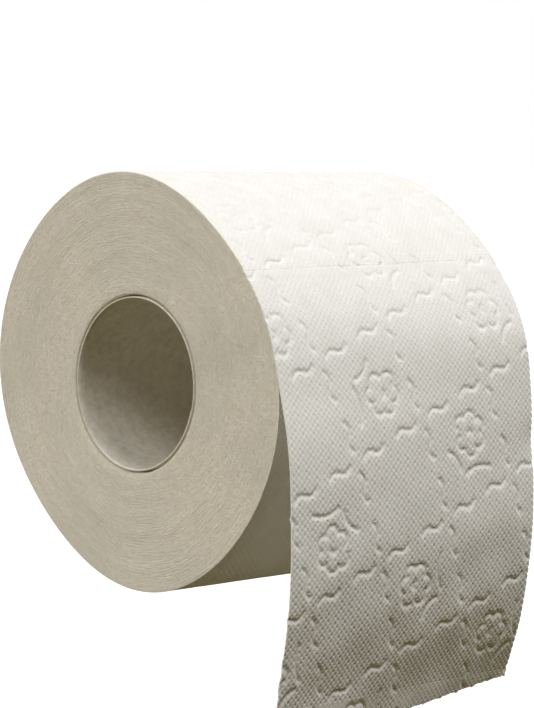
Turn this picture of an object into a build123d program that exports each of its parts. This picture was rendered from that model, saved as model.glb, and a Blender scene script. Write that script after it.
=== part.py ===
"""
A toilet paper roll as it hangs in use: a web of embossed paper wound on a cardboard core, with
one sheet hanging free at the front and torn off along its perforation. Lengths are in
millimetres. X runs along the roll's axis from the left end to the right, Z is up, and the free
sheet hangs on the -Y side. The origin is the middle of the core's bore.
"""
import os
from math import cos, floor, pi, radians, sin

from build123d import *

# The web of paper and the roll it is wound into
paper_width = 96.0
roll_radius = 55.8
web_thickness = 0.5
sheet_length = 124.0

# The cardboard core
core_outer_radius = 23.5
core_wall = 0.7

# The wound part is squeezed a little out of round. Its radius is the mean one plus these shares
# of it, for waves of one to four crests a turn: each pair is (cosine, sine).
wave_shares = ((0.010, -0.002), (0.012, 0.036), (-0.001, 0.003), (0.013, -0.002))
outline_arcs = 12

# Angles are counted from +Y towards +Z, so 90 is the top and 180 the front. The outermost turn
# leaves the wound paper at the crevice, where it lifts off by the lift angle, and its outer face
# starts to hang a little above it.
crevice_angle = 171.0
hang_angle = 158.0
lift_angle = 7.0

# The inner face of the hanging sheet, from under the crevice down to the torn end, as (y, z)
# shares of the roll's radius. The left end swings out at once, and the right end lies close
# against the roll first. Both belly outwards and then curl back in.
left_hang_shares = ((-1.047, -0.040), (-1.085, -0.270), (-1.101, -0.640), (-1.070, -1.100),
                    (-0.973, -1.665))
right_hang_shares = ((-1.026, -0.040), (-1.013, -0.270), (-1.027, -0.640), (-0.972, -1.100),
                     (-0.839, -1.505))

# The turns show on both ends as a spiral line that starts under the crevice. It is cut in short
# straight runs.
shown_turns = 14
turn_runs = 36
turn_line_width = 0.6
turn_line_depth = 0.5
outer_land = 1.4
inner_land = 1.8

# The perforations: a row of short slits across the web, once for every sheet
perforation_angle = 145.0
slit_length = 5.0
bond_length = 2.0
slit_width = 0.6
slit_depth = 0.45
cut_overrun = 1.0


def round_radius(angle):
    """The radius of the squeezed circle at an angle in degrees."""
    turn = radians(angle)
    waves = [a * cos(k * turn) + b * sin(k * turn) for k, (a, b) in enumerate(wave_shares, start=1)]
    return roll_radius * (1 + sum(waves))


def outer_radius(angle):
    """The outside of the outermost turn, at an angle from a turn before the crevice up to it.
    It climbs by one thickness of the web on its way round."""
    turns = (angle - crevice_angle + 360) / 360
    return round_radius(angle) + web_thickness * turns


def polar(x, radius, angle):
    """A point at a place along the axis, a radius and an angle in degrees."""
    return Vector(x, radius * cos(radians(angle)), radius * sin(radians(angle)))


def outer_turn(x):
    """The outermost turn's edges, from the crevice once round to where the sheet starts to hang,
    as arcs through the squeezed circle."""
    start = crevice_angle - 360
    step = (hang_angle - start) / outline_arcs / 2
    points = [polar(x, outer_radius(start + step * i), start + step * i)
              for i in range(2 * outline_arcs + 1)]
    return [ThreePointArc(*points[i:i + 3]).edge() for i in range(0, 2 * outline_arcs, 2)]


def hanging_faces(x, hang_shares, outer_start, outer_direction):
    """The outer and inner edges of the hanging sheet. The outer one lies a web's thickness
    outside the inner one, square to it."""
    inner = [polar(x, round_radius(crevice_angle), crevice_angle)]
    inner += [Vector(x, roll_radius * y, roll_radius * z) for y, z in hang_shares]
    last = len(inner) - 1
    outer = []
    for i, point in enumerate(inner):
        along = inner[min(i + 1, last)] - inner[max(i - 1, 0)]
        outward = Vector(0, along.Z, -along.Y).normalized()
        outer.append(point + outward * web_thickness)
    lift_direction = polar(0, 1, crevice_angle + 90 - lift_angle)
    outer_edge = Spline(outer_start, *outer[1:], tangents=(outer_direction, outer[-1] - outer[-2]))
    inner_edge = Spline(*reversed(inner), tangents=(inner[-2] - inner[-1], -lift_direction))
    return outer_edge.edge(), inner_edge.edge()


def end_section(x, hang_shares):
    """The edges of the web's section at one end: the wound part with the sheet that leaves it."""
    turn = outer_turn(x)
    outer, inner = hanging_faces(x, hang_shares, turn[-1] @ 1, turn[-1] % 1)
    torn_end = Line(outer @ 1, inner @ 0).edge()
    return [*turn, outer, torn_end, inner]


def groove(start, direction, out, length, width, depth):
    """The cutter of a straight V-shaped groove in a face whose outward direction is given."""
    across = direction.cross(out).normalized()
    lip = width / depth * (depth + cut_overrun) / 2
    profile = Polyline(start + out * cut_overrun + across * lip,
                       start + out * cut_overrun - across * lip,
                       start - out * depth, close=True)
    return extrude(make_face(profile), amount=length, dir=direction)


def turn_line(x, inward):
    """The spiral groove between the turns on one end: V-shaped sections standing on a flat spiral
    that runs back from the crevice and inwards, joined by straight runs."""
    inner_radius = core_outer_radius + inner_land
    runs = shown_turns * turn_runs
    points = []
    for i in range(runs + 1):
        angle = crevice_angle - 360 * i / turn_runs
        outside = round_radius(angle) - outer_land
        points.append(polar(x, outside + (inner_radius - outside) * i / runs, angle))
    lip = turn_line_width / turn_line_depth * (turn_line_depth + cut_overrun) / 2
    top = Vector(-inward * cut_overrun, 0, 0)
    bottom = Vector(inward * turn_line_depth, 0, 0)
    sections = []
    for i, point in enumerate(points):
        along = points[min(i + 1, runs)] - points[max(i - 1, 0)]
        across = along.cross(Vector(1, 0, 0)).normalized() * lip
        corners = Polyline(point + top + across, point + top - across, point + bottom, close=True)
        sections.append(Wire(corners.edges()))
    return Solid.make_loft(sections, ruled=True)


def perforations():
    """The slits of every perforation that the outermost turn shows, one row for each sheet."""
    sheet_angle = sheet_length / roll_radius * 180 / pi
    rows = floor((perforation_angle - crevice_angle + 360) / sheet_angle) + 1
    pitch = slit_length + bond_length
    slits = floor((paper_width - bond_length) / pitch)
    first = -(slits * pitch - bond_length) / 2
    along_axis = Vector(1, 0, 0)
    cutters = []
    for row in range(rows):
        angle = perforation_angle - row * sheet_angle
        out = polar(0, 1, angle)
        for i in range(slits):
            start = polar(first + i * pitch, outer_radius(angle), angle)
            cutters.append(groove(start, along_axis, out, slit_length, slit_width, slit_depth))
    return cutters


def paper_roll():
    """The wound web and its hanging sheet, lofted from the left end's section to the right
    end's, bored for the core, with its turns and perforations cut in."""
    half = paper_width / 2
    left = end_section(-half, left_hang_shares)
    right = end_section(half, right_hang_shares)
    web = Part() + Solid.make_loft([Wire(left), Wire(right)], ruled=True)
    web -= Cylinder(core_outer_radius, paper_width + 2 * cut_overrun, rotation=(0, 90, 0))
    web -= turn_line(-half, 1)
    web -= turn_line(half, -1)
    web -= perforations()
    return web


def core_tube():
    """The cardboard tube, as long as the paper is wide."""
    bore_radius = core_outer_radius - core_wall
    outside = Cylinder(core_outer_radius, paper_width, rotation=(0, 90, 0))
    bore = Cylinder(bore_radius, paper_width + 2 * cut_overrun, rotation=(0, 90, 0))
    return outside - bore


os.makedirs("parts", exist_ok=True)
export_step(paper_roll(), "parts/paper_roll.step")
export_step(core_tube(), "parts/core_tube.step")
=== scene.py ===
"""
A toilet paper roll as it hangs in use, dressed with embossed tissue: a web of paper wound on a
cardboard core, with one sheet hanging free at the front. Lengths in the tables are in
millimetres and go into the meshes in metres.
"""

import bpy
import numpy as np
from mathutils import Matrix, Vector


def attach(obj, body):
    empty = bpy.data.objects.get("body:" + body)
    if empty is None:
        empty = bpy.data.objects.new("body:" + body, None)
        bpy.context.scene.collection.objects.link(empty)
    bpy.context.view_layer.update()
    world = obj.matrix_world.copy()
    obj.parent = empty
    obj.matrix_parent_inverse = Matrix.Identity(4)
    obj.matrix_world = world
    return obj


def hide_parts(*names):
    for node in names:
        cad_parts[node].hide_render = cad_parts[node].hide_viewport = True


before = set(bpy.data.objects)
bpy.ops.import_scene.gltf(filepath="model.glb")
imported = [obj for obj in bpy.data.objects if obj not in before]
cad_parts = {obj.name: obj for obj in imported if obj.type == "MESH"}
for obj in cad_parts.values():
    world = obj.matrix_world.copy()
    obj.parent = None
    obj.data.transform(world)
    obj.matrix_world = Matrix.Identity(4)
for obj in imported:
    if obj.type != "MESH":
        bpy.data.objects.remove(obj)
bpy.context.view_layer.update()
scene = bpy.context.scene


# The web of paper
# Soft two-ply tissue, wound on the core and let hang at the front. Every sheet and turn below is
# a stretch of this one web, whose outside is worked out here as a place along the roll's axis
# and a length along the web, counted from the top of the roll.
MM = 0.001
paper_width = 96.0
roll_radius = 55.8
web_thickness = 0.5
top_angle = 90.0
crevice_angle = 171.0
hang_angle = 158.0
angle_step = 0.5
wave_shares = ((0.010, -0.002), (0.012, 0.036), (-0.001, 0.003), (0.013, -0.002))
right_end_share = 0.985
left_hang = ((-55.0, 11.1), (-58.3, -2.1), (-59.7, -8.0), (-60.9, -15.0), (-61.7, -25.0),
             (-61.8, -35.0), (-61.8, -44.5), (-61.3, -52.0), (-60.2, -60.5), (-58.5, -70.0),
             (-56.6, -80.0), (-54.8, -92.0), (-53.0, -104.0))
right_hang = ((-54.4, 10.9), (-56.3, -0.7), (-57.0, -9.8), (-57.25, -15.5), (-57.4, -21.0),
              (-57.6, -27.5), (-57.8, -35.0), (-57.6, -41.5), (-56.6, -49.5), (-54.9, -60.5),
              (-52.2, -71.0), (-49.4, -79.0), (-46.9, -86.0), (-43.0, -96.0))


def round_radius(angle):
    """The radius of the squeezed circle at angles in degrees: the mean one with a few waves."""
    turn = np.radians(angle)
    waves = sum(a * np.cos(k * turn) + b * np.sin(k * turn)
                for k, (a, b) in enumerate(wave_shares, start=1))
    return roll_radius * (1 + waves)


def smooth_curve(points, start_direction, step=0.25):
    """Points every step along a smooth curve through the given ones: cubic pieces over the
    chord lengths, whose slopes match at every point, with a given direction at the start."""
    points = np.asarray(points, float)
    chords = np.hypot(*np.diff(points, axis=0).T)
    knots = np.concatenate([[0], np.cumsum(chords)])
    count = len(points)
    rows = np.zeros((count, count))
    sides = np.zeros((count, 2))
    rows[0, 0] = 1
    sides[0] = start_direction
    for i in range(1, count - 1):
        before, after = chords[i - 1], chords[i]
        rows[i, i - 1:i + 2] = after, 2 * (before + after), before
        sides[i] = 3 * ((points[i] - points[i - 1]) * after / before
                        + (points[i + 1] - points[i]) * before / after)
    rows[-1, -2:] = 1, 2
    sides[-1] = 3 * (points[-1] - points[-2]) / chords[-1]
    slopes = np.linalg.solve(rows, sides)
    along = np.arange(0, knots[-1], step)
    piece = np.clip(np.searchsorted(knots, along, side="right") - 1, 0, count - 2)
    chord = chords[piece][:, None]
    t = (along - knots[piece])[:, None] / chord
    return ((1 + 2 * t) * (1 - t) ** 2 * points[piece] + t * (1 - t) ** 2 * chord * slopes[piece]
            + t ** 2 * (3 - 2 * t) * points[piece + 1]
            + t ** 2 * (t - 1) * chord * slopes[piece + 1])


def web_outline(hang, share):
    """The web's outside at one end, as lengths along it from the top and the (y, z) there: the
    squeezed circle, growing by one thickness of the web, and the smooth curve of the hanging
    sheet after it."""
    angles = np.arange(crevice_angle - 360, hang_angle + angle_step / 2, angle_step)
    grown = web_thickness * (angles - crevice_angle + 360) / 360
    radii = round_radius(angles) * share + grown
    turn = np.radians(angles)
    wound = np.stack([radii * np.cos(turn), radii * np.sin(turn)], axis=1)
    direction = wound[-1] - wound[-2]
    hanging = smooth_curve([wound[-1], *hang], direction / np.hypot(*direction))
    outline = np.concatenate([wound, hanging[1:]])
    lengths = np.concatenate([[0], np.cumsum(np.hypot(*np.diff(outline, axis=0).T))])
    top = np.interp(top_angle, angles, lengths[:len(angles)])
    return lengths - top, outline, angles


left_lengths, left_outline, wound_angles = web_outline(left_hang, 1.0)
right_lengths, right_outline, _ = web_outline(right_hang, right_end_share)


def length_at(angle):
    """The length along the web from the top to an angle round the roll, at mid width."""
    count = len(wound_angles)
    return (np.interp(angle, wound_angles, left_lengths[:count])
            + np.interp(angle, wound_angles, right_lengths[:count])) / 2


def web_surface(x, s):
    """The smooth outside of the web before its emboss, at places x along the axis and lengths s
    along the web: straight lines from the left end's outline to the right end's."""
    share = (x / paper_width + 0.5)[..., None]
    left = np.stack([np.interp(s, left_lengths, left_outline[:, k]) for k in (0, 1)], axis=-1)
    right = np.stack([np.interp(s, right_lengths, right_outline[:, k]) for k in (0, 1)], axis=-1)
    return np.concatenate([x[..., None], left * (1 - share) + right * share], axis=-1)


def grid_normals(points):
    """The outward normals of a grid whose first index runs down the web and whose second runs
    along the axis: the cross product of the two directions of the grid."""
    down = np.gradient(points, axis=0)
    across = np.gradient(points, axis=1)
    normals = np.cross(down, across)
    return normals / np.linalg.norm(normals, axis=-1, keepdims=True)


# The emboss
# Steel rollers press the pattern into the web before it is wound: fine pits all over, a lattice
# of wavy dashes, and a blossom with two leaves in every second cell of the lattice.
lattice_across = np.array([13.1, -5.0])
lattice_down = np.array([4.7, 13.4])
lattice_start = np.array([0.1, 65.6])
dash_length = 8.0
dash_wave = 0.85
groove_depth = 0.38
groove_width = 0.40
groove_ledge = 0.34
ledge_share = 0.7
pillow_depth = 0.05
pillow_width = 1.3
pit_cell = paper_width / 204
pit_pitch = 4 * pit_cell
pit_depth = 0.29
pit_run = 0.33
pit_evenness = 0.85
pit_scatter = 0.3
faded_pit_share = 0.6
pit_flattening = 0.8
petals = ((-88, 3.5, 2.3), (-28, 3.9, 2.0), (28, 3.7, 2.25), (86, 4.3, 2.0), (142, 3.9, 2.1),
          (215, 4.2, 2.2))
petal_arc = (-78, 92)
blossom_shift = (1.0, -3.8)
leaves = (((-8.1, 0.9), (-4.9, 2.6), (-3.1, 5.9)), ((-0.9, 7.1), (3.8, 5.2), (8.8, 5.6)))
eye = ((-0.9, -0.1), (0.0, -0.75), (0.9, 0.1))
leaf_turns = ((3, 3, 3), (1, 1, 0), (3, 2, 3))
bow_runs = 8
far_off = 99.0


def dash_distance(along, beside, sign):
    """How far points lie from a wavy dash, given along and beside its middle line: one full
    sine wave over its length, with round ends."""
    half = dash_length / 2
    phase = np.pi * (np.clip(along, -half, half) / half + 1)
    wave = sign * dash_wave * np.sin(phase)
    slope = sign * dash_wave * np.pi / half * np.cos(phase)
    past_end = np.maximum(np.abs(along) - half, 0)
    return np.hypot((beside - wave) / np.sqrt(1 + slope ** 2), past_end)


def bow_distance(px, py, bow):
    """How far points lie from a bowed stroke: the nearest of the short straight runs of a
    parabola through its two ends, lifted towards its middle point."""
    start, middle, end = (np.array(point) for point in bow)
    control = 2 * middle - (start + end) / 2
    t = np.linspace(0, 1, bow_runs + 1)[:, None]
    knots = (1 - t) ** 2 * start + 2 * t * (1 - t) * control + t ** 2 * end
    nearest = np.full(px.shape, far_off)
    for a, b in zip(knots[:-1], knots[1:]):
        run = b - a
        share = np.clip(((px - a[0]) * run[0] + (py - a[1]) * run[1]) / run.dot(run), 0, 1)
        nearest = np.minimum(nearest, np.hypot(px - a[0] - share * run[0],
                                               py - a[1] - share * run[1]))
    return nearest


def petal_distance(px, py):
    """How far points lie from the blossom's outline: an arc round each petal's middle, which
    runs on a little past the next petal."""
    nearest = np.full(px.shape, far_off)
    for angle, reach, radius in petals:
        c, s = np.cos(np.radians(angle)), np.sin(np.radians(angle))
        qx, qy = px * c + py * s - reach, py * c - px * s
        bearing = np.clip(np.degrees(np.arctan2(qy, qx)), *petal_arc)
        on_x, on_y = radius * np.cos(np.radians(bearing)), radius * np.sin(np.radians(bearing))
        nearest = np.minimum(nearest, np.hypot(qx - on_x, qy - on_y))
    return nearest


def mark_distance(x, s):
    """How far points lie from the nearest mark. They are first written in steps of the lattice,
    so the nearest dash of each direction and the nearest blossom follow by rounding."""
    dx, ds = x - lattice_start[0], s - lattice_start[1]
    area = lattice_across[0] * lattice_down[1] - lattice_across[1] * lattice_down[0]
    a = (dx * lattice_down[1] - ds * lattice_down[0]) / area
    b = (ds * lattice_across[0] - dx * lattice_across[1]) / area
    nearest = np.full(x.shape, far_off)
    for step, cell_a, cell_b, sign in (
            (lattice_across, np.round(a), 2 * np.round(b / 2), -1),
            (lattice_down, 2 * np.round(a / 2 + 0.25) - 0.5, np.round(b - 0.5) + 0.5, -1)):
        unit = step / np.hypot(*step)
        off_x = (a - cell_a) * lattice_across[0] + (b - cell_b) * lattice_down[0]
        off_s = (a - cell_a) * lattice_across[1] + (b - cell_b) * lattice_down[1]
        along = off_x * unit[0] + off_s * unit[1]
        beside = off_s * unit[0] - off_x * unit[1]
        nearest = np.minimum(nearest, dash_distance(along, beside, sign))
    column = np.round((a - 0.5) / 2)
    row = np.round((b - 1) / 2)
    cell_a, cell_b = a - 0.5 - 2 * column, b - 1 - 2 * row
    off_x = cell_a * lattice_across[0] + cell_b * lattice_down[0]
    off_s = cell_a * lattice_across[1] + cell_b * lattice_down[1]
    turns = np.array(leaf_turns)[((1 - column + row) // 2 % 3).astype(int),
                                 ((column + row + 3) // 2 % 3).astype(int)]
    cos, sin = np.array([1, 0, -1, 0])[turns], np.array([0, 1, 0, -1])[turns]
    px, py = off_x * cos + off_s * sin, off_s * cos - off_x * sin
    marks = petal_distance(px - blossom_shift[0], py - blossom_shift[1])
    marks = np.minimum(marks, bow_distance(px - blossom_shift[0], py - blossom_shift[1], eye))
    for leaf in leaves:
        marks = np.minimum(marks, bow_distance(px, py, leaf))
    marks = np.where((column + row) % 2 == 1, marks, far_off)
    return np.minimum(nearest, marks)


def emboss(x, s, run):
    """The height of the embossed web over the smooth one. A mark is a narrow bell with a lower
    ledge below it, both in a wide shallow one. The pits are the upper half of a product of two
    cosines, a square lattice set on its corner, drawn out along the rows by a share of the
    rows' own cosine, the run. They are uneven from pit to pit, shallower where the run fades
    and pressed flat by the marks."""
    distance = mark_distance(x, s)
    ledge = mark_distance(x, s - groove_ledge)
    depth = np.maximum(groove_depth * np.exp(-(distance / groove_width) ** 2),
                       ledge_share * groove_depth * np.exp(-(ledge / groove_width) ** 2))
    rows = np.cos(2 * np.pi * s / pit_pitch)
    dots = np.clip((1 - run) * rows * np.cos(2 * np.pi * x / pit_pitch)
                   + run * np.abs(rows), 0, 1)
    dots *= pit_evenness + pit_scatter * np.sin(3.1 * x + 1.7 * s) * np.sin(2.3 * s - 1.9 * x)
    dots *= faded_pit_share + (1 - faded_pit_share) * run / pit_run
    pits = pit_depth * dots * (1 - pit_flattening * depth / groove_depth)
    return -depth - pits - pillow_depth * np.exp(-(distance / pillow_width) ** 2)


slack_start, slack_run = 80, 60
slack_depths = (0.08, 0.06)
pinch_length = 103
pinch_depth = 0.6
pinch_reach = (3.5, 5)
side_crush, side_crush_width = 0.12, 0.6
end_crimp, end_crimp_width = 0.05, 0.5
torn_crimp_share = 0.4
edge_margin = 1.5
run_fade = 8
crease_angle = 50
map_gap = 4


def slack_waves(x, s):
    """The soft waves of the sheet where it hangs free, crossed sines that grow downwards, and
    a dip where its right edge has been pinched."""
    grown = np.clip((s - slack_start) / slack_run, 0, 1) ** 1.5
    waves = (slack_depths[0] * np.sin(0.16 * x + 0.29 * s - 0.8)
             + slack_depths[1] * np.sin(0.36 * x - 0.21 * s + 1.2))
    dip = np.exp(-((s - pinch_length) / pinch_reach[1]) ** 2
                 + (x - paper_width / 2) / pinch_reach[0])
    return grown * waves - pinch_depth * dip


def sheet_edges(x, s, start, end, torn):
    """What the edges of a sheet do to its height: both sides are pressed thin by the slitting
    knife, and the ends are crimped by the perforating blade."""
    side = np.exp(-((paper_width / 2 - np.abs(x)) / side_crush_width))
    ends = (np.exp(-np.abs(s - start) / end_crimp_width)
            + (torn_crimp_share if torn else 1) * np.exp(-np.abs(end - s) / end_crimp_width))
    return -side_crush * side - end_crimp * ends


def even_rows(first, last, coarse):
    """The lengths of a grid's rows from one slanting edge to another, and how many fan out at
    the start. Between the edges the rows lie on the lattice of the pits, four to a pitch."""
    low = 2 * pit_cell * np.ceil((first.max() + edge_margin) / pit_cell / 2)
    high = pit_cell * np.floor((last.min() - edge_margin) / pit_cell)
    middle = np.arange(int(round((high - low) / pit_cell)) + 1) * pit_cell + low
    above = int(np.ceil((low - first.mean()) / pit_cell))
    below = int(np.ceil((last.mean() - high) / pit_cell))
    below += -(above + len(middle) - 1 + below) % coarse
    fan = np.arange(above)[:, None] / above
    fan_out = np.arange(1, below + 1)[:, None] / below
    rows = np.concatenate([first + fan * (low - first), middle[:, None] + 0 * first,
                           high + fan_out * (last - high)])
    return rows, above


def smooth_piece(name, points, faces):
    """A piece of its own with a smooth mesh, from points in millimetres and their faces."""
    mesh = bpy.data.meshes.new(name)
    mesh.from_pydata((points.reshape(-1, 3) * MM).tolist(), [], faces)
    mesh.polygons.foreach_set("use_smooth", np.ones(len(mesh.polygons), bool))
    piece = bpy.data.objects.new(name, mesh)
    scene.collection.objects.link(piece)
    return piece


def sheet_piece(name, start, end, thickness, torn=False, coarse=12, inset=0.0):
    """A sheet of the web as a closed mesh: a fine grid outside, the same grid thinned by coarse
    inside, and many-cornered faces that join the two round the rim. start and end give the
    lengths along the web at places x, and inset how far the sides stand in from the ends."""
    columns = int(round(paper_width / pit_cell))
    x = np.arange(columns + 1) * pit_cell - paper_width / 2
    x[[0, -1]] += np.array([inset, -inset])
    first, last = start(x), end(x)
    s, above = even_rows(first, last, coarse)
    rows = len(s) - 1
    xs = np.broadcast_to(x, s.shape)
    smooth = web_surface(xs, s)
    normals = grid_normals(smooth)
    off_lattice = np.clip(run_fade * np.abs(np.gradient(s, axis=0) / pit_cell - 1), 0, 1)
    height = emboss(xs, s, pit_run * (1 - off_lattice)) + slack_waves(xs, s)
    height += sheet_edges(xs, s, first, last, torn)
    outside = smooth + normals * height[..., None]
    inside = (outside - normals * thickness)[::coarse, ::coarse]
    fine = np.arange(outside.shape[0] * outside.shape[1]).reshape(outside.shape[:2])
    plain = len(fine.ravel()) + np.arange(inside.shape[0] * inside.shape[1]).reshape(
        inside.shape[:2])
    corners = [fine[:-1, :-1], fine[1:, :-1], fine[1:, 1:], fine[:-1, 1:]]
    rising = (np.add.outer(np.arange(rows), np.arange(columns)) - above) % 2 == 1
    split = [[np.where(rising, corners[(k + 1) % 4], corners[k]) for k in half]
             for half in ((0, 1, 2), (0, 2, 3))]
    top = np.concatenate([np.stack(half, -1).reshape(-1, 3) for half in split])
    back = np.stack([plain[:-1, :-1], plain[:-1, 1:], plain[1:, 1:], plain[1:, :-1]],
                    -1).reshape(-1, 4)
    faces = top.tolist() + back.tolist()
    for rim, hem in ((fine[0], plain[0]), (fine[-1, ::-1], plain[-1, ::-1]),
                     (fine[::-1, 0], plain[::-1, 0]), (fine[:, -1], plain[:, -1])):
        for i in range(len(hem) - 1):
            stretch = rim[i * coarse:(i + 1) * coarse + 1]
            faces.append([*stretch.tolist(), int(hem[i + 1]), int(hem[i])])
    points = np.concatenate([outside.reshape(-1, 3), inside.reshape(-1, 3)])
    piece = smooth_piece(name, points, faces)
    mesh = piece.data
    mesh.set_sharp_from_angle(angle=np.radians(crease_angle))
    flat = np.concatenate([np.stack([xs, s], -1).reshape(-1, 2),
                           np.stack([xs[::coarse, ::coarse] + paper_width + map_gap,
                                     s[::coarse, ::coarse]], -1).reshape(-1, 2)])
    flat = (flat - flat.min(axis=0)) / (flat.max(axis=0) - flat.min(axis=0)).max()
    corners = np.zeros(len(mesh.loops), int)
    mesh.loops.foreach_get("vertex_index", corners)
    mesh.uv_layers.new(name="OFBake").data.foreach_set("uv", flat[corners].ravel())
    mesh.validate()
    return piece


def matt_material(name, roughness, specular):
    """A matt material and its shader."""
    material = bpy.data.materials.new(name)
    material.use_nodes = True
    shader = material.node_tree.nodes["Principled BSDF"]
    shader.inputs["Roughness"].default_value = roughness
    shader.inputs["Specular IOR Level"].default_value = specular
    return material, shader


def noise(material, place, **settings):
    """A cloudy pattern between 0 and 1 over the places, with its settings by name."""
    node = material.node_tree.nodes.new("ShaderNodeTexNoise")
    for socket, value in settings.items():
        node.inputs[socket].default_value = value
    material.node_tree.links.new(place, node.inputs["Vector"])
    return node.outputs["Fac"]


def tint_by(material, shader, pattern, dark, light):
    """Colours the shader by a pattern: from the dark colour to the light one between two of the
    pattern's values, each given with its colour."""
    tint = material.node_tree.nodes.new("ShaderNodeValToRGB")
    for element, (value, colour) in zip(tint.color_ramp.elements, (dark, light)):
        element.position = value
        element.color = (*colour, 1)
    material.node_tree.links.new(pattern, tint.inputs["Fac"])
    material.node_tree.links.new(tint.outputs["Color"], shader.inputs["Base Color"])


def bump_by(material, shader, pattern, strength, distance):
    """Roughens the shader's surface by a pattern."""
    bump = material.node_tree.nodes.new("ShaderNodeBump")
    bump.inputs["Strength"].default_value = strength
    bump.inputs["Distance"].default_value = distance
    material.node_tree.links.new(pattern, bump.inputs["Height"])
    material.node_tree.links.new(bump.outputs["Normal"], shader.inputs["Normal"])


def tissue_material():
    """Tissue: a matt warm white, cloudy and flecked at the scale of its fibres, with the short
    fibres standing in the bump."""
    material, shader = matt_material("embossed_tissue", 0.92, 0.15)
    shader.inputs["Sheen Weight"].default_value = 0.12
    shader.inputs["Sheen Roughness"].default_value = 0.6
    place = material.node_tree.nodes.new("ShaderNodeTexCoord").outputs["Object"]
    cloud = noise(material, place, Scale=140, Detail=6, Roughness=0.65)
    tint_by(material, shader, cloud, (0.3, (0.78, 0.763, 0.726)), (0.7, (0.852, 0.836, 0.803)))
    fibre = noise(material, place, Scale=2600, Detail=4, Distortion=1.2)
    bump_by(material, shader, fibre, 0.35, 0.0002)
    return material


tissue = tissue_material()


# The hanging sheet
# The last sheet of the web, from the perforation at the upper front over the crevice, where it
# leaves the roll, down to the torn end. It bellies outwards and curls back in below.
perforation_length = 50.5
perforation_lean = -0.025
torn_length = 176.0
torn_lean = -0.1045
slit_pitch = 7.0
slit_share = 0.7
slit_width = 0.04
slit_taper = 0.04
tongue_length = 0.45
tongue_width = 0.09
fray = ((0.10, 5.1, 0), (0.07, 11.7, 1), (0.05, 17.3, 2))
hanging_thickness = 0.42


def perforation_line(x):
    """The first perforation, as the length along the web at places x."""
    return perforation_length + perforation_lean * x


def slit_gap(x):
    """How far an edge stands back from its perforation: a little in the slits and nothing at
    the bonds between them."""
    phase = (x / slit_pitch) % 1
    return slit_width / 2 * np.clip(np.minimum(phase, slit_share - phase) / slit_taper, 0, 1)


def torn_line(x):
    """The torn end: a straight line with the short tongues of the torn bonds and a fine fray,
    whose waves are given as depth, rate and start."""
    phase = (x / slit_pitch) % 1
    tongue = tongue_length * np.exp(-((phase - (1 + slit_share) / 2) / tongue_width) ** 2)
    waves = sum(depth * np.sin(rate * x + begin) for depth, rate, begin in fray)
    return torn_length + torn_lean * x + tongue + waves


hanging_sheet = sheet_piece("hanging_sheet", lambda x: perforation_line(x) + slit_gap(x),
                            torn_line, hanging_thickness, torn=True, coarse=2)
hanging_sheet.data.materials.append(tissue)
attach(hanging_sheet, "root")
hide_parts("paper_roll")


# The sheets of the outermost turn
# The sheets before the hanging one, still wound: over the top to the back, under the roll, and
# the rest of the turn up to the crevice. Perforations part them.
sheet_length = 124.0
wound_thickness = 1.2
wound_inset = 0.25
turn_start = length_at(crevice_angle - 360)
second_line = perforation_length - sheet_length
third_line = second_line - sheet_length
wound_sheets = (
    ("top_sheet", lambda x: second_line + slit_gap(x),
     lambda x: perforation_line(x) - slit_gap(x)),
    ("back_sheet", lambda x: third_line + slit_gap(x), lambda x: second_line - slit_gap(x)),
    ("under_sheet", lambda x: 0 * x + turn_start, lambda x: third_line - slit_gap(x)))
for name, start, end in wound_sheets:
    sheet = sheet_piece(name, start, end, wound_thickness, inset=wound_inset)
    sheet.data.materials.append(tissue)
    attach(sheet, "root")
    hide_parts("paper_roll")


# The wound turns
# The turns under the outermost one. On both ends their cut edges show as a fine spiral, a little
# uneven where turns were wound tighter or slipped, and fuzzy from the saw.
core_inner_radius = 23.3
core_wall = 0.48
core_gap = 1.05
bore_depths = (3.0, 1.8)
lift_off_angle = 143.5
lift_off_run = 2
lift_off_drop = 0.45
edge_drop = 0.25
end_inset = 0.03
end_turns = 31
ridge_height = 0.035
slip_height = 0.035
fine_slip_height = 0.02
core_rounding = 0.15
rim_steps = ((-0.08, -0.04), (-0.01, -0.12), (0.0, -0.22), (-0.03, -0.45), (-0.12, -0.7))
hidden_drop = 0.66
hidden_inset = 0.1
turn_angles = 640
turn_rings = 62
streak_run = (100, 8)


def core_radius(angle):
    """The core's inside, which has been pressed a little to one side and out of round."""
    turn = np.radians(angle)
    return (core_inner_radius + 0.75 * np.cos(turn + np.radians(118))
            + 0.35 * np.cos(2 * turn + 0.6))


def outside_radius(angle, end_share):
    """The outermost turn's outside at angles from 0 to 360 degrees, and a sheet's thickness less
    where the hanging sheet lies on it."""
    grown = web_thickness * ((angle - crevice_angle) % 360) / 360
    hanging = np.clip((angle - lift_off_angle) / lift_off_run, 0, 1) * (angle < crevice_angle)
    return round_radius(angle) * end_share + grown - lift_off_drop * hanging


def ring_radius(share, angle, end_share):
    """The radius at a share of the way from the core to the outside, at angles in degrees."""
    inside = core_radius(angle) + core_gap
    return inside + share * (outside_radius(angle, end_share) - edge_drop - inside)


def end_relief(share, angle, seed):
    """How far the turns' edges stand out on an end: ridges along a spiral, whose height comes
    and goes with slow waves round the roll, and bands of turns that slipped a little."""
    turn = np.radians(angle)
    spiral = share * end_turns - angle / 360
    waves = 0.5 + 0.5 * np.sin(turn * 2 + seed) * np.sin(share * 9 + seed + turn)
    ridges = ridge_height * np.cos(2 * np.pi * spiral) * waves
    bands = slip_height * np.sin(share * 17 + seed + 0.8 * np.sin(turn + seed))
    bands += fine_slip_height * np.sin(share * 41 - 2 * seed + 0.6 * np.sin(2 * turn))
    return ridges + bands


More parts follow.
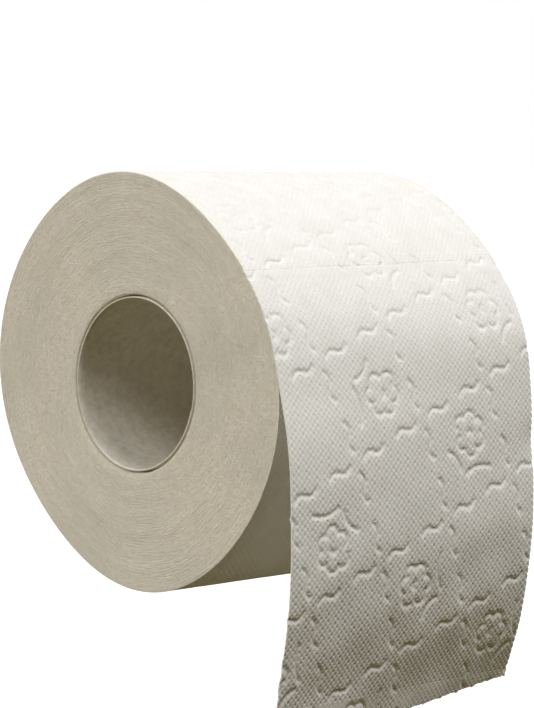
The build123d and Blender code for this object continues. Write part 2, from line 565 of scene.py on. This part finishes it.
def ring_map(mesh, points, order):
    """Unrolls a closed ring of grid rows into the map for baking: across it lies the place round
    the ring, and down it the length along the profile, averaged round the ring. order gives the
    row and column step of each corner of a face."""
    rows, columns = points.shape[:2]
    steps = np.linalg.norm(np.roll(points, -1, axis=0) - points, axis=-1).mean(axis=1)
    down = np.concatenate([[0], np.cumsum(steps)]) / steps.sum()
    row, column = np.mgrid[:rows, :columns]
    corners = [np.stack([(column + right) / columns, down[row + below]], -1)
               for below, right in order]
    mesh.uv_layers.new(name="OFBake").data.foreach_set("uv", np.stack(corners, 2).ravel())


def ring_piece(name, points, order):
    """A piece whose grid closes both ways, like a thick tube. order gives the row and column
    step of each corner of a face, and with them which way the faces point."""
    index = np.arange(points.shape[0] * points.shape[1]).reshape(points.shape[:2])
    corners = [np.roll(index, (-below, -right), axis=(0, 1)) for below, right in order]
    piece = smooth_piece(name, points, np.stack(corners, -1).reshape(-1, 4).tolist())
    ring_map(piece.data, points, order)
    piece.data.validate()
    return piece


def wound_piece(name):
    """The wound turns as a closed ring: rings of points out over the left end, over the outside,
    in over the right end and back through the bore. Their places along and round the turns go
    into an attribute, for the streaks."""
    angle = np.arange(turn_angles) * 360 / turn_angles
    share = np.linspace(0, 1, turn_rings)
    half = paper_width / 2 - end_inset
    loops = []
    for side, end_share, seed in ((-1, 1.0, 0.4), (1, right_end_share, 2.1)):
        grid_share, grid_angle = share[:, None] + 0 * angle, angle + 0 * share[:, None]
        radius = ring_radius(grid_share, grid_angle, end_share)
        fade = np.clip((1 - grid_share) * 12, 0, 1)
        x = half + end_relief(grid_share, grid_angle, seed) * fade
        x = x - core_rounding * np.exp(-grid_share * 50)
        rim_radius = outside_radius(angle, end_share) + np.array(rim_steps)[:, :1]
        rim_x = half + 0 * angle + np.array(rim_steps)[:, 1:]
        hidden = np.clip(rim_radius[-1:], 0, round_radius(angle) * end_share - hidden_drop)
        bore = core_radius(angle) + np.array([[core_wall], [core_gap]])
        bore_x = half + 0 * angle - np.array(bore_depths)[:, None]
        radius = np.concatenate([bore, radius, rim_radius, hidden])
        x = side * np.concatenate([bore_x, x, rim_x, rim_x[-1:] - hidden_inset])
        turn = np.radians(angle)
        rings = np.stack([x, radius * np.cos(turn), radius * np.sin(turn)], -1)
        loops.append(rings if side < 0 else rings[::-1])
    piece = ring_piece(name, np.concatenate(loops), ((0, 0), (0, 1), (1, 1), (1, 0)))
    share = np.concatenate([[0, 0], share, np.ones(len(rim_steps) + 1)])
    shares = np.concatenate([share, 2 - share[::-1]])[:, None] + 0 * angle
    turn = np.radians(angle) + 0 * shares
    down, around = streak_run
    places = np.stack([shares * down, around * np.cos(turn), around * np.sin(turn)], -1)
    turns = piece.data.attributes.new("turns", "FLOAT_VECTOR", "POINT")
    turns.data.foreach_set("vector", places.ravel())
    return piece


def turn_edge_material():
    """The cut edges of the turns: the tissue's colour painted darker and warmer, as painted
    shade on the roll's ends, with streaks that follow the turns and lint caught by the saw, more
    of it in some patches."""
    material, shader = matt_material("turn_edges_painted_shade", 0.95, 0.1)
    nodes, links = material.node_tree.nodes, material.node_tree.links
    turns = nodes.new("ShaderNodeAttribute")
    turns.attribute_name = "turns"
    streak = noise(material, turns.outputs["Vector"], Scale=0.9, Detail=5, Roughness=0.75)
    place = nodes.new("ShaderNodeTexCoord").outputs["Object"]
    lint = noise(material, place, Scale=700, Detail=5, Distortion=0.6)
    patch = noise(material, place, Scale=55)
    lint_share = nodes.new("ShaderNodeMapRange")
    for socket, value in (("From Min", 0.35), ("From Max", 0.65), ("To Min", 0.27),
                          ("To Max", 0.48)):
        lint_share.inputs[socket].default_value = value
    links.new(patch, lint_share.inputs["Value"])
    blend = nodes.new("ShaderNodeMix")
    links.new(lint_share.outputs["Result"], blend.inputs["Factor"])
    links.new(streak, blend.inputs["A"])
    links.new(lint, blend.inputs["B"])
    pattern = blend.outputs["Result"]
    # painted shade: both colours are darker and warmer than the tissue's, standing in for the
    # shade on the ends
    tint_by(material, shader, pattern, (0.32, (0.73, 0.685, 0.59)), (0.62, (0.88, 0.84, 0.76)))
    bump_by(material, shader, pattern, 0.9, 0.0010)
    return material


wound_turns = wound_piece("wound_turns")
wound_turns.data.materials.append(turn_edge_material())
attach(wound_turns, "root")
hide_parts("paper_roll")


# The cardboard core
# A tube of grey-buff board wound from plies on the slant and glued, as long as the paper is
# wide. The seam of the inner ply runs round it as a fine spiral step.
seam_pitch = 88.0
seam_rise, seam_rise_run = 0.16, 9.0
seam_fall, seam_fall_run = 0.10, 3.0
core_inset = 0.05
rim_crush, rim_crush_run = 0.06, 0.5
core_angles = 240
core_rings = 81


def core_piece(name):
    """The tube as a closed mesh: a ring of points for every place along it inside, and the same
    back outside. The inner ply's seam is a small step along a spiral."""
    angle = np.arange(core_angles) * 360 / core_angles
    half = paper_width / 2 - core_inset
    x = np.linspace(-half, half, core_rings)
    xs, angles = np.meshgrid(x, angle, indexing="ij")
    turn = np.radians(angles)
    from_seam = ((angles / 360 + xs / seam_pitch) % 1) * seam_pitch
    step = (seam_rise * np.exp(-from_seam / seam_rise_run)
            - seam_fall * np.exp(-(seam_pitch - from_seam) / seam_fall_run))
    crush = rim_crush * np.exp(-(half - np.abs(xs)) / rim_crush_run)
    inner = core_radius(angles) - step + crush
    outer = core_radius(angles) + core_wall - crush
    skins = [np.stack([xs, r * np.cos(turn), r * np.sin(turn)], -1) for r in (inner, outer)]
    points = np.concatenate([skins[0], skins[1][::-1]])
    return ring_piece(name, points, ((0, 0), (1, 0), (1, 1), (0, 1)))


def board_material():
    """Recycled board: grey-buff, matt, with darker flecks and a slight tooth."""
    material, shader = matt_material("grey_board", 0.8, 0.25)
    place = material.node_tree.nodes.new("ShaderNodeTexCoord").outputs["Object"]
    fleck = noise(material, place, Scale=420, Detail=6, Roughness=0.7)
    tint_by(material, shader, fleck, (0.3, (0.58, 0.54, 0.46)), (0.6, (0.74, 0.70, 0.615)))
    bump_by(material, shader, fleck, 0.4, 0.0002)
    return material


core = core_piece("core_board")
core.data.materials.append(board_material())
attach(core, "root")
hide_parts("core_tube")


# The floor and the light
# A pale floor below the hanging sheet, a soft lamp high at the front, and on each side a high
# one and a low warm one from a little behind.
floor_level = -0.125
floor_reach = 12.0


def floor_material():
    """White to the camera and grey to every other ray, so the floor keeps the shadow and throws
    little light back up."""
    material, shader = matt_material("floor_white", 0.9, 0.0)
    nodes, links = material.node_tree.nodes, material.node_tree.links
    path = nodes.new("ShaderNodeLightPath")
    colour = nodes.new("ShaderNodeMix")
    colour.data_type = "RGBA"
    to_others, to_camera = colour.inputs[6], colour.inputs[7]
    to_others.default_value = (0.112, 0.092, 0.034, 1)
    to_camera.default_value = (1, 1, 1, 1)
    links.new(path.outputs["Is Camera Ray"], colour.inputs[0])
    links.new(colour.outputs[2], shader.inputs["Base Color"])
    return material


floor_mesh = bpy.data.meshes.new("floor")
floor_corners = [(floor_reach * x, floor_reach * y, floor_level)
                 for x, y in ((-1, -1), (1, -1), (1, 1), (-1, 1))]
floor_mesh.from_pydata(floor_corners, [], [(0, 1, 2, 3)])
floor_mesh.materials.append(floor_material())
floor = bpy.data.objects.new("floor", floor_mesh)
scene.collection.objects.link(floor)

world = bpy.data.worlds.new("room")
world.use_nodes = True
scene.world = world
world_nodes, world_links = world.node_tree.nodes, world.node_tree.links
room = world_nodes["Background"]
room.inputs["Color"].default_value = (1.0, 0.93, 0.76, 1)
room.inputs["Strength"].default_value = 0.02
backdrop = world_nodes.new("ShaderNodeBackground")
backdrop.inputs["Color"].default_value = (1, 1, 1, 1)
backdrop.inputs["Strength"].default_value = 1.0
seen = world_nodes.new("ShaderNodeMixShader")
path = world_nodes.new("ShaderNodeLightPath")
world_links.new(path.outputs["Is Camera Ray"], seen.inputs["Fac"])
world_links.new(room.outputs["Background"], seen.inputs[1])
world_links.new(backdrop.outputs["Background"], seen.inputs[2])
world_links.new(seen.outputs["Shader"], world_nodes["World Output"].inputs["Surface"])


def far_lamp(name, direction, strength, spread, colour):
    """A distant soft lamp: a sun whose disc is spread wide, shining from a direction."""
    light = bpy.data.lights.new(name, "SUN")
    light.energy = strength
    light.angle = np.radians(spread)
    light.color = colour
    lamp = bpy.data.objects.new(name, light)
    lamp.rotation_euler = Vector(direction).to_track_quat("Z", "Y").to_euler()
    scene.collection.objects.link(lamp)


far_lamp("key_lamp", (0.0, -0.45, 0.893), 2.0, 20, (1.0, 1.0, 0.99))
for side, name, strength in ((-1, "left", 1.5), (1, "right", 0.5)):
    far_lamp("upper_" + name + "_lamp", (0.52 * side, -0.26, 0.814), 1.04, 30, (1.0, 1.0, 1.0))
    far_lamp(name + "_lamp", (0.86 * side, 0.47, 0.20), strength, 24, (1.0, 0.95, 0.84))


# The camera
# Low at the left front and looking slightly down, as far off and as narrow as the camera that
# was fitted to the outlines of the roll's ends and its hole.
camera_turn = 46.92
camera_tilt = 3.83
camera_data = bpy.data.cameras.new("camera")
camera_data.sensor_width = 36
camera_data.lens = 150.67
camera = bpy.data.objects.new("camera", camera_data)
camera.location = (-0.5621, -0.60215, 0.06032)
camera.rotation_euler = (np.radians(90 - camera_tilt), 0, np.radians(camera_turn - 90))
scene.collection.objects.link(camera)
scene.camera = camera
scene.view_settings.view_transform = "Standard"
